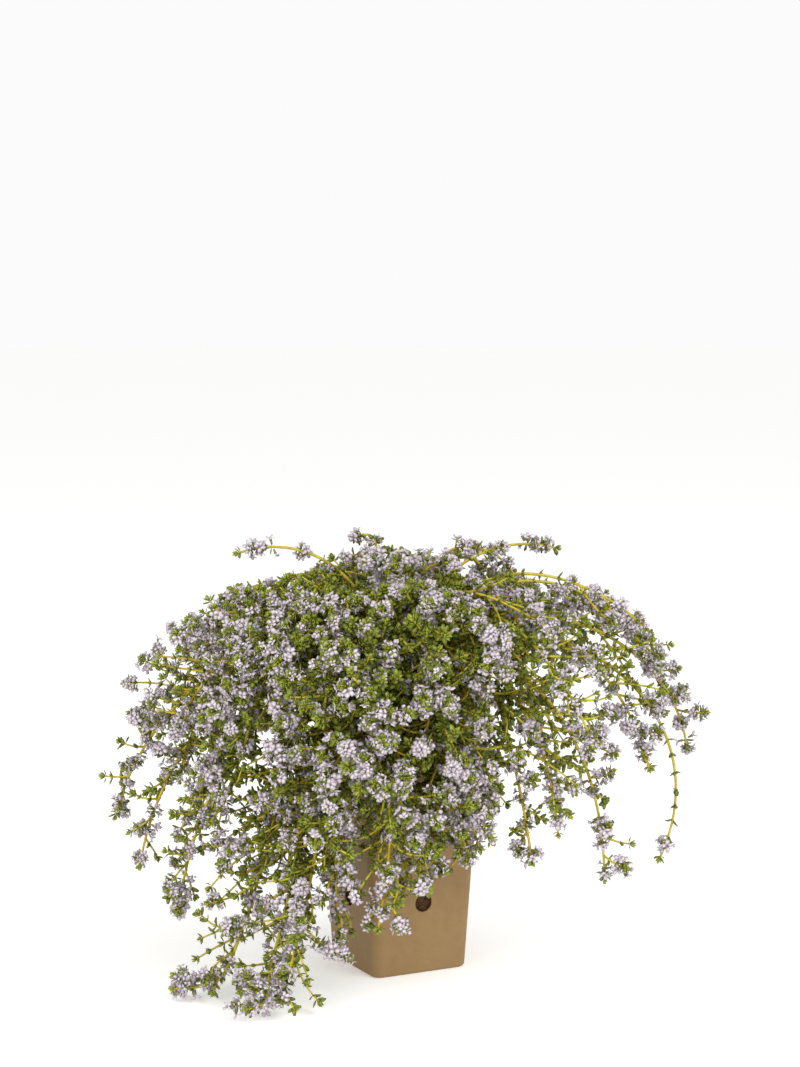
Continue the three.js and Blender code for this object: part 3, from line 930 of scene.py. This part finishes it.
def side_sprigs(main, longest_shoot, plant, crowd, draw):
    """The side shoots of a stem or branch: each is the one of a few tries that ends where there is
    most room, and none ends much lower than its stem.

    A slim runner, which has a single whorl, bears side shoots only near its foot.
    """
    sprigs = []
    branched = main.line.length * (RUNNER_SHARE if len(main.whorls) == 1 else 1) - BARE_TIP
    spacing = plant.sprig_spacing * (1 - plant.fullness * facing(main.line.points[-1], plant))
    lowest = min(point.z for point in main.line.points[len(main.line.points) // 2:]) - DROOP
    for at in spaced(BARE_FOOT, branched, spacing, draw):
        tries = []
        start = main.line.at(at)
        beyond = (start.to_2d().length - plant.bulk_radius) / BULK_EDGE
        share = max((at / main.line.length) ** 2, min(beyond, 1))
        longest = longest_shoot + (plant.sprig_outermost - longest_shoot) * share
        if is_lean(start, plant):
            longest = min(longest, LEAN_LONGEST)
            if draw.random() < LEAN_MISSING:
                continue
        for _ in range(TRIES):
            reach = max(plant.sprig_shortest, longest * draw.uniform(0.35, 1))
            knots = side_knots(main.line, at, reach, draw)
            tip = knots[-1]
            dome = plant.dome_height - plant.dome_fall * (tip.x ** 2 + tip.y ** 2)
            bump = plant.dome_bumps * noise.noise(Vector((tip.x, tip.y, 0)) * BUMP_SCALE)
            if lowest < tip.z < dome + bump and has_room(knots[1:]):
                tries.append((crowd.near(tip), len(tries), knots))
        if not tries:
            continue
        knots = min(tries)[-1]
        radii = plant.sprig_foot, plant.sprig_tip
        sprigs.append(Sprig(Line(knots, SHOOT_STEP), radii, SHOOT_AGES))
        crowd.add(knots[-1])
    return sprigs


def facing(point, plant):
    """How far a point lies towards the plant's full side: 1 is straight towards it, -1 away."""
    return point.to_2d().normalized().dot((math.cos(plant.full_side), math.sin(plant.full_side)))


def is_lean(point, plant):
    """Whether a point is low down and away from the full side, where the plant is thin."""
    return point.z < plant.low_shoots and facing(point, plant) < FAT_SIDE


def dress_side(sprig, plant, crowd, draw):
    """Gives a side shoot its whorls, tuft and leaf pairs: in flower only at the plant's surface."""
    tip = sprig.line.points[-1]
    outward = Vector((tip.x, tip.y, max(0, tip.z - HEART.z))).normalized()
    looks = [Quaternion(UP, turn) @ outward * plant.shade_depth for turn in LOOKS]
    in_shade = min(crowd.near(tip + look) for look in looks) > plant.shade_limit
    is_sparse = is_lean(tip, plant) or tip.to_2d().length < plant.crown_radius
    is_sparse = is_sparse or noise.noise(tip * PATCH_SCALE) < GREEN_PATCH
    most = 0 if in_shade else draw.choice(SPARSE_WHORLS if is_sparse else WHORLS)
    back = draw.uniform(*TOP_WHORL) * MM
    for _ in range(most):
        if sprig.line.length - back < LOWEST_WHORL:
            break
        sprig.whorls.append(sprig.line.length - back)
        back += draw.uniform(*NEXT_WHORL) * MM
    bare_end = min(sprig.whorls, default=sprig.line.length) - PAIRS_FROM_ENDS
    sprig.pairs = spaced(PAIRS_FROM_ENDS, bare_end, plant.pair_spacing, draw)
    sprig.tuft = draw.uniform(0.8, 1.2)


def spaced(start, end, spacing, draw):
    """Distances from start to end, about a spacing apart."""
    found = []
    at = start
    while at < end:
        found.append(at)
        at += spacing * draw.uniform(0.75, 1.25)
    return found


def grow_plant(plant):
    """The shoots of every stem: its main shoot, its long branches, and the side shoots of both."""
    crowd = Crowd()
    mains = [main_sprig(node, plant) for node in STEM_NODES]
    draws = [random.Random(plant.seed * 1000 + number) for number in range(len(mains))]
    for main, draw in zip(mains, draws):
        first_whorl = min(main.whorls, default=main.line.length)
        bare_end = first_whorl - BELOW_WHORL
        main.pairs = spaced(STEM_FIRST_PAIR, bare_end, plant.pair_spacing * 1.3, draw)
        main.tuft = draw.uniform(0.8, 1.1)
        for distance in main.whorls:
            crowd.add(main.line.at(distance))
    grown = []
    for main, draw in zip(mains, draws):
        branches = long_branches(main, plant, draw)
        twigs = side_sprigs(main, plant.sprig_longest, plant, crowd, draw)
        for branch in branches:
            twigs += side_sprigs(branch, plant.twig_longest, plant, crowd, draw)
        grown.append(([main, *branches], twigs))
    for (_, twigs), draw in zip(grown, draws):
        for twig in twigs:
            dress_side(twig, plant, crowd, draw)
    return [bearers + twigs for bearers, twigs in grown]


def piece_for_each_stem(plant, kind, material, fill):
    """One piece of a kind for each stem. Its bmesh is filled from the stem's shoots."""
    for node, grown in zip(STEM_NODES, grow_plant(plant)):
        bm = bmesh.new()
        fill(bm, grown)
        finish_piece(f"{node}_{kind}", mesh_of(bm, node), [node], material)


def make_stems(plant):
    """The stems and their side shoots as tapered tubes."""
    def fill(bm, grown):
        age_layer = bm.verts.layers.float.new("age")
        for order, sprig in enumerate(grown):
            rings = sweep(bm, sprig.line, *sprig.radii, SHOOT_SIDES if order else STEM_SIDES)
            foot_age, tip_age = sprig.ages
            for ring, reached in zip(rings, sprig.line.reached):
                for vert in ring:
                    vert[age_layer] = foot_age + (tip_age - foot_age) * reached / sprig.line.length
        bmesh.ops.recalc_face_normals(bm, faces=bm.faces)

    piece_for_each_stem(plant, "shoots", stem_finish(plant), fill)


# ---------------------------------------------------------------- leaves

def blade(bm, length, width, thickness, sides):
    """A thin lens that starts at the origin and reaches along X. Returns its corners."""
    size = Matrix.Diagonal((length / 2, width / 2, thickness / 2, 1))
    return bmesh.ops.create_uvsphere(
        bm, u_segments=sides, v_segments=2, radius=1.0,
        matrix=Matrix.Translation((length / 2, 0, 0)) @ size,
    )["verts"]


LEAF_THICKNESS = 0.5 * MM
LEAF_FOLD = 0.2  # how far a leaf's edges rise, against its width
LARGE_LEAF, SMALL_LEAF = 6, 4  # corners round a leaf's edge
PAIR_KINDS, BRACT_KINDS, TUFT_KINDS = 5, 5, 6
TUFT_LEVELS = 5


def leaf_into(bm, plant, size, place, shade, curl, sides=LARGE_LEAF):
    """A folded leaf. Its curl lifts the tip, or drops it where the curl is below zero."""
    length = plant.leaf_length * size
    width = plant.leaf_width * size
    corners = blade(bm, length, width, LEAF_THICKNESS, sides)
    rib_layer = bm.verts.layers.float["rib"]
    shade_layer = bm.verts.layers.float["shade"]
    for corner in corners:
        along = corner.co.x / length
        aside = abs(corner.co.y) / (width / 2)
        corner[rib_layer] = 1 - aside
        corner[shade_layer] = shade
        corner.co.z += LEAF_FOLD * width * aside + curl * length * along ** 2
    bmesh.ops.transform(bm, matrix=place, verts=corners)


def leaf_place(azimuth, rise, foot):
    """Stands a leaf at a stem along Z: turned round it, risen from level, its root at foot."""
    turn = Matrix.Rotation(azimuth, 4, "Z") @ Matrix.Rotation(-rise, 4, "Y")
    return Matrix.Translation((0, 0, foot)) @ turn @ Matrix.Translation((0.3 * MM, 0, 0))


def leaf_template(name, build):
    """A mesh of leaves, with its rib and shade for each vertex."""
    bm = bmesh_with("rib", "shade")
    build(bm)
    return mesh_of(bm, name)


def pair_template(plant, draw, young):
    """Two opposite leaves with a few small ones in their corners."""
    def build(bm):
        for side in (0, math.pi):
            azimuth = side + draw.uniform(-0.25, 0.25)
            size = draw.uniform(0.75, 1.1)
            shade = young + draw.uniform(-0.2, 0.2)
            place = leaf_place(azimuth, draw.uniform(0.2, 0.9), 0)
            leaf_into(bm, plant, size, place, shade, curl=-0.15)
            for _ in range(draw.choice((1, 2, 2))):
                azimuth = side + draw.uniform(-1.2, 1.2)
                place = leaf_place(azimuth, draw.uniform(0.4, 1.2), 0)
                size = draw.uniform(0.5, 0.8)
                leaf_into(bm, plant, size, place, shade + 0.2, curl=0.1, sides=SMALL_LEAF)
    return leaf_template("pair", build)


def tuft_template(plant, draw, young):
    """The round green tip of a shoot: crosswise pairs of cupped leaves, closed over each other."""
    def build(bm):
        for level in range(TUFT_LEVELS):
            largest = 0.85 - 0.07 * level
            for side in (0, math.pi):
                azimuth = side + level * math.pi / 2 + draw.uniform(-0.45, 0.45)
                rise = 0.1 + 0.24 * level + draw.uniform(-0.15, 0.15)
                shade = young + 0.07 * level + draw.uniform(-0.2, 0.1)
                place = leaf_place(azimuth, rise, (level * 0.55 - 0.8) * MM)
                sides = LARGE_LEAF if level < 2 else SMALL_LEAF
                size = largest * draw.uniform(0.85, 1.1)
                leaf_into(bm, plant, size, place, shade, curl=0.3, sides=sides)
    return leaf_template("tuft", build)


def bract_template(plant, draw, young):
    """The leaves under a whorl, which show among its flowers."""
    def build(bm):
        for level in range(2):
            for side in (0, math.pi):
                azimuth = side + level * math.pi / 2 + draw.uniform(-0.4, 0.4)
                rise = draw.uniform(0.0, 0.5)
                shade = young + draw.uniform(-0.2, 0.2)
                place = leaf_place(azimuth, rise, (level * 3.0 - 3) * MM)
                leaf_into(bm, plant, draw.uniform(0.9, 1.15), place, shade, curl=-0.1)
    return leaf_template("bracts", build)


def standing(line, distance, size, draw):
    """Stands a template, made along Z, on a line at a distance, turned by chance."""
    turn = line.heading(distance).to_track_quat("Z", "Y")
    spin = Quaternion(UP, draw.uniform(0, 2 * math.pi))
    return Matrix.LocRotScale(line.at(distance), turn @ spin, Vector((size,) * 3))


def make_leaves(plant):
    """The leaves of each stem: pairs along its shoots, bracts under whorls and tufts at tips."""
    draw = random.Random(plant.seed)
    old_pairs = [pair_template(plant, draw, young=0.15) for _ in range(PAIR_KINDS)]
    young_pairs = [pair_template(plant, draw, young=0.5) for _ in range(PAIR_KINDS)]
    bracts = [bract_template(plant, draw, young=0.4) for _ in range(BRACT_KINDS)]
    tufts = [tuft_template(plant, draw, young=0.62) for _ in range(TUFT_KINDS)]

    def fill(bm, grown):
        for order, sprig in enumerate(grown):
            for distance in sprig.pairs:
                template = draw.choice(young_pairs if order else old_pairs)
                size = draw.uniform(0.8, 1.15)
                copy_into(bm, template, standing(sprig.line, distance, size, draw))
            for distance in sprig.whorls:
                copy_into(bm, draw.choice(bracts), standing(sprig.line, distance, 1.0, draw))
            tip = standing(sprig.line, sprig.line.length - 1.5 * MM, sprig.tuft, draw)
            copy_into(bm, draw.choice(tufts), tip)

    piece_for_each_stem(plant, "leaves", leaf_finish(plant), fill)


# ---------------------------------------------------------------- flowers

BUD_SHARE = 0.12
FLORET_KINDS, BUD_KINDS, WHORL_KINDS = 6, 2, 9
GOLDEN_ANGLE = math.pi * (3 - math.sqrt(5))

# What a flower's vertices hold: 1 in the throat, 1 on the cup, and how deep a lilac the flower is.
FLOWER_LAYERS = ("throat", "calyx", "shade")

# Each lip or lobe: its azimuth, its lean from the flower's axis, and its length and width against
# the flower's.
OPEN_LOBES = [
    (90, 40, 0.48, 0.4), (270, 76, 0.56, 0.38), (200, 72, 0.5, 0.34), (340, 72, 0.5, 0.34),
]
BUD_LOBES = [(90, 6, 0.24, 0.2), (270, 6, 0.24, 0.2)]


def floret_template(plant, draw, is_bud):
    """One small flower along Z: a four-sided cup, an upper lip and a lower lip of three lobes."""
    bm = bmesh_with(*FLOWER_LAYERS)
    throat_layer, calyx_layer, shade_layer = bm.verts.layers.float.values()
    length = plant.floret_length
    throat_height = length * 0.66
    cup = bmesh.ops.create_cone(
        bm, cap_ends=True, segments=4, radius1=length * 0.06, radius2=length * 0.13,
        depth=length * 0.42, matrix=Matrix.Translation((0, 0, length * 0.42)),
    )["verts"]
    for vert in cup:
        vert[calyx_layer] = 1.0
    for azimuth, lean, reach, width in BUD_LOBES if is_bud else OPEN_LOBES:
        lean = math.radians(lean + draw.uniform(-18, 18))
        turn = Matrix.Rotation(math.radians(azimuth + draw.uniform(-10, 10)), 4, "Z")
        tip_over = Matrix.Rotation(lean - math.pi / 2, 4, "Y")
        place = Matrix.Translation((0, 0, throat_height)) @ turn @ tip_over
        thick = length * (0.16 if is_bud else 0.07)
        petal = blade(bm, length * reach, length * width, thick, 5)
        for vert in petal:
            along = vert.co.x / (length * reach)
            vert.co.y *= 0.8 + 0.4 * along
            vert[throat_layer] = 1 - along
        bmesh.ops.transform(bm, matrix=place, verts=petal)
    tint = 0.9 if is_bud else draw.uniform(0, 0.7)
    for vert in bm.verts:
        vert[shade_layer] = tint
    return mesh_of(bm, "floret")


def whorl_template(plant, draw, florets, buds):
    """Flowers round a stem along Z, the upper ones leaning up, with one side left bare."""
    bm = bmesh_with(*FLOWER_LAYERS)
    start = draw.uniform(0, 2 * math.pi)
    bare = draw.uniform(0.4, 1.3)
    for k in range(round(plant.florets * draw.uniform(0.8, 1.2))):
        azimuth = (k * GOLDEN_ANGLE) % (2 * math.pi)
        if azimuth < bare:
            continue
        azimuth += start + draw.uniform(-0.5, 0.5)
        rise = math.radians(draw.uniform(-20, 75))
        foot = (draw.uniform(-4.5, 1.0) + rise * 1.5) * MM
        turn = Matrix.Rotation(azimuth, 4, "Z") @ Matrix.Rotation(math.pi / 2 - rise, 4, "Y")
        upright = Matrix.Rotation(math.pi / 2 + draw.uniform(-0.7, 0.7), 4, "Z")
        size = Matrix.Scale(draw.uniform(0.7, 1.25), 4)
        place = Matrix.Translation((0, 0, foot)) @ turn @ upright @ size
        kind = buds if draw.random() < BUD_SHARE else florets
        copy_into(bm, draw.choice(kind), place)
    return mesh_of(bm, "whorl")


def make_flowers(plant):
    """The flower whorls of each stem."""
    draw = random.Random(plant.seed + 1)
    florets = [floret_template(plant, draw, is_bud=False) for _ in range(FLORET_KINDS)]
    buds = [floret_template(plant, draw, is_bud=True) for _ in range(BUD_KINDS)]
    whorls = [whorl_template(plant, draw, florets, buds) for _ in range(WHORL_KINDS)]

    def fill(bm, grown):
        for sprig in grown:
            for distance in sprig.whorls:
                size = draw.uniform(0.85, 1.1)
                copy_into(bm, draw.choice(whorls), standing(sprig.line, distance, size, draw))

    piece_for_each_stem(plant, "flowers", flower_finish(plant), fill)


# ---------------------------------------------------------------- stage

# How strongly the surround lights the plant, and how bright it is to the camera, which sees it as
# bright as the far floor.
SURROUND_LIGHT = 0.7
SURROUND_SEEN = 0.963
FLOOR_GLOW = 0.34
FLOOR_RADIUS = 12.0
FLOOR_SEGMENTS = 96
SENSOR_WIDTH = 36.0  # in millimetres
LIGHT_AIM = Vector((0, 0, 0.15))
LIGHT_SIZE = 1.4


def add_area_light(name, place, power):
    """A soft square light that looks at the plant."""
    light = bpy.data.lights.new(name, "AREA")
    light.size = LIGHT_SIZE
    light.energy = power
    lamp = new_object(name, light)
    lamp.location = place
    lamp.rotation_euler = (LIGHT_AIM - Vector(place)).to_track_quat("-Z", "Y").to_euler()


def make_world():
    """A white surround, brighter to the camera than it shines."""
    world = bpy.data.worlds.new("Studio")
    world.use_nodes = True
    tree = world.node_tree
    background = tree.nodes["Background"]
    background.inputs["Color"].default_value = (1, 1, 1, 1)
    seen = tree.nodes.new("ShaderNodeLightPath").outputs["Is Camera Ray"]
    strength = ranged(tree, seen, 0.0, 1.0, SURROUND_LIGHT, SURROUND_SEEN)
    tree.links.new(strength, background.inputs["Strength"])
    bpy.context.scene.world = world


def make_floor(stage):
    """A wide pale floor."""
    bm = bmesh.new()
    bmesh.ops.create_circle(bm, cap_ends=True, segments=FLOOR_SEGMENTS, radius=FLOOR_RADIUS)
    floor = new_object("floor", mesh_of(bm, "floor"))
    finish = Finish("Pale Floor")
    soft = finish.mottle([c * 0.985 for c in stage.floor], stage.floor, scale=3.0, spread=1.0)
    finish.set(
        Base_Color=soft, Roughness=0.9, Specular_IOR_Level=0.1,
        Emission_Color=stage.floor, Emission_Strength=FLOOR_GLOW,
    )
    floor.data.materials.append(finish.material)


def make_camera(stage):
    """The camera, at the place that a user sets round the pot's middle."""
    data = bpy.data.cameras.new("Camera")
    data.lens = stage.lens
    data.sensor_width = SENSOR_WIDTH
    camera = new_object("Camera", data)
    place = Vector((stage.camera_right, -stage.camera_away, stage.camera_height))
    camera.location = Matrix.Rotation(stage.camera_turn, 3, "Z") @ place
    camera.rotation_euler = (math.pi / 2 - stage.camera_tilt, 0, stage.camera_turn)
    bpy.context.scene.camera = camera


# ---------------------------------------------------------------- operators and panel

class THYME_OT_make_stage(bpy.types.Operator):
    """Make the floor, the lights and the camera"""

    bl_idname = "thyme.make_stage"
    bl_label = "Make Stage"

    def execute(self, context):
        make_camera(context.scene.thyme_stage)
        make_floor(context.scene.thyme_stage)
        make_world()
        add_area_light("Key", place=(0.7, -1.8, 1.5), power=30)
        add_area_light("Fill", place=(-1.9, -0.9, 0.9), power=27)
        context.scene.view_settings.view_transform = "Standard"
        return {"FINISHED"}


class THYME_OT_make_pot(bpy.types.Operator):
    """Make the square moulded pot with its side holes and drain holes"""

    bl_idname = "thyme.make_pot"
    bl_label = "Make Pot"

    def execute(self, context):
        make_pot(context.scene.thyme_pot)
        return {"FINISHED"}


class THYME_OT_make_soil(bpy.types.Operator):
    """Make the root ball that fills the pot"""

    bl_idname = "thyme.make_soil"
    bl_label = "Make Soil"

    def execute(self, context):
        make_soil(context.scene.thyme_pot, context.scene.thyme_plant)
        return {"FINISHED"}


class THYME_OT_make_stems(bpy.types.Operator):
    """Make the stems with their side shoots"""

    bl_idname = "thyme.make_stems"
    bl_label = "Make Stems"

    def execute(self, context):
        make_stems(context.scene.thyme_plant)
        return {"FINISHED"}


class THYME_OT_make_leaves(bpy.types.Operator):
    """Make the leaves of all stems"""

    bl_idname = "thyme.make_leaves"
    bl_label = "Make Leaves"

    def execute(self, context):
        make_leaves(context.scene.thyme_plant)
        return {"FINISHED"}


class THYME_OT_make_flowers(bpy.types.Operator):
    """Make the flower whorls of all stems"""

    bl_idname = "thyme.make_flowers"
    bl_label = "Make Flowers"

    def execute(self, context):
        make_flowers(context.scene.thyme_plant)
        return {"FINISHED"}


OPERATORS = (
    THYME_OT_make_stage,
    THYME_OT_make_pot,
    THYME_OT_make_soil,
    THYME_OT_make_stems,
    THYME_OT_make_leaves,
    THYME_OT_make_flowers,
)


class THYME_PT_parts(bpy.types.Panel):
    """The plant's settings and the steps that make it"""

    bl_idname = "THYME_PT_parts"
    bl_label = "Potted Thyme"
    bl_space_type = "VIEW_3D"
    bl_region_type = "UI"
    bl_category = "Thyme"

    def draw(self, context):
        for operator in OPERATORS:
            self.layout.operator(operator.bl_idname)
        for group in SETTINGS:
            settings = getattr(context.scene, group)
            box = self.layout.box()
            for name in settings.__annotations__:
                box.prop(settings, name)


SETTINGS = {
    "thyme_pot": ThymePotSettings,
    "thyme_plant": ThymePlantSettings,
    "thyme_stage": ThymeStageSettings,
}


def register():
    for group in SETTINGS.values():
        bpy.utils.register_class(group)
    for part in (*OPERATORS, THYME_PT_parts):
        bpy.utils.register_class(part)
    for name, group in SETTINGS.items():
        setattr(bpy.types.Scene, name, bpy.props.PointerProperty(type=group))


def unregister():
    for name in SETTINGS:
        delattr(bpy.types.Scene, name)
    for part in (THYME_PT_parts, *reversed(OPERATORS)):
        bpy.utils.unregister_class(part)
    for group in SETTINGS.values():
        bpy.utils.unregister_class(group)


def main():
    register()
    bpy.ops.thyme.make_stage()
    bpy.ops.thyme.make_pot()
    bpy.ops.thyme.make_soil()
    bpy.ops.thyme.make_stems()
    bpy.ops.thyme.make_leaves()
    bpy.ops.thyme.make_flowers()
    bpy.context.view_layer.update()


if __name__ == "__main__":
    main()
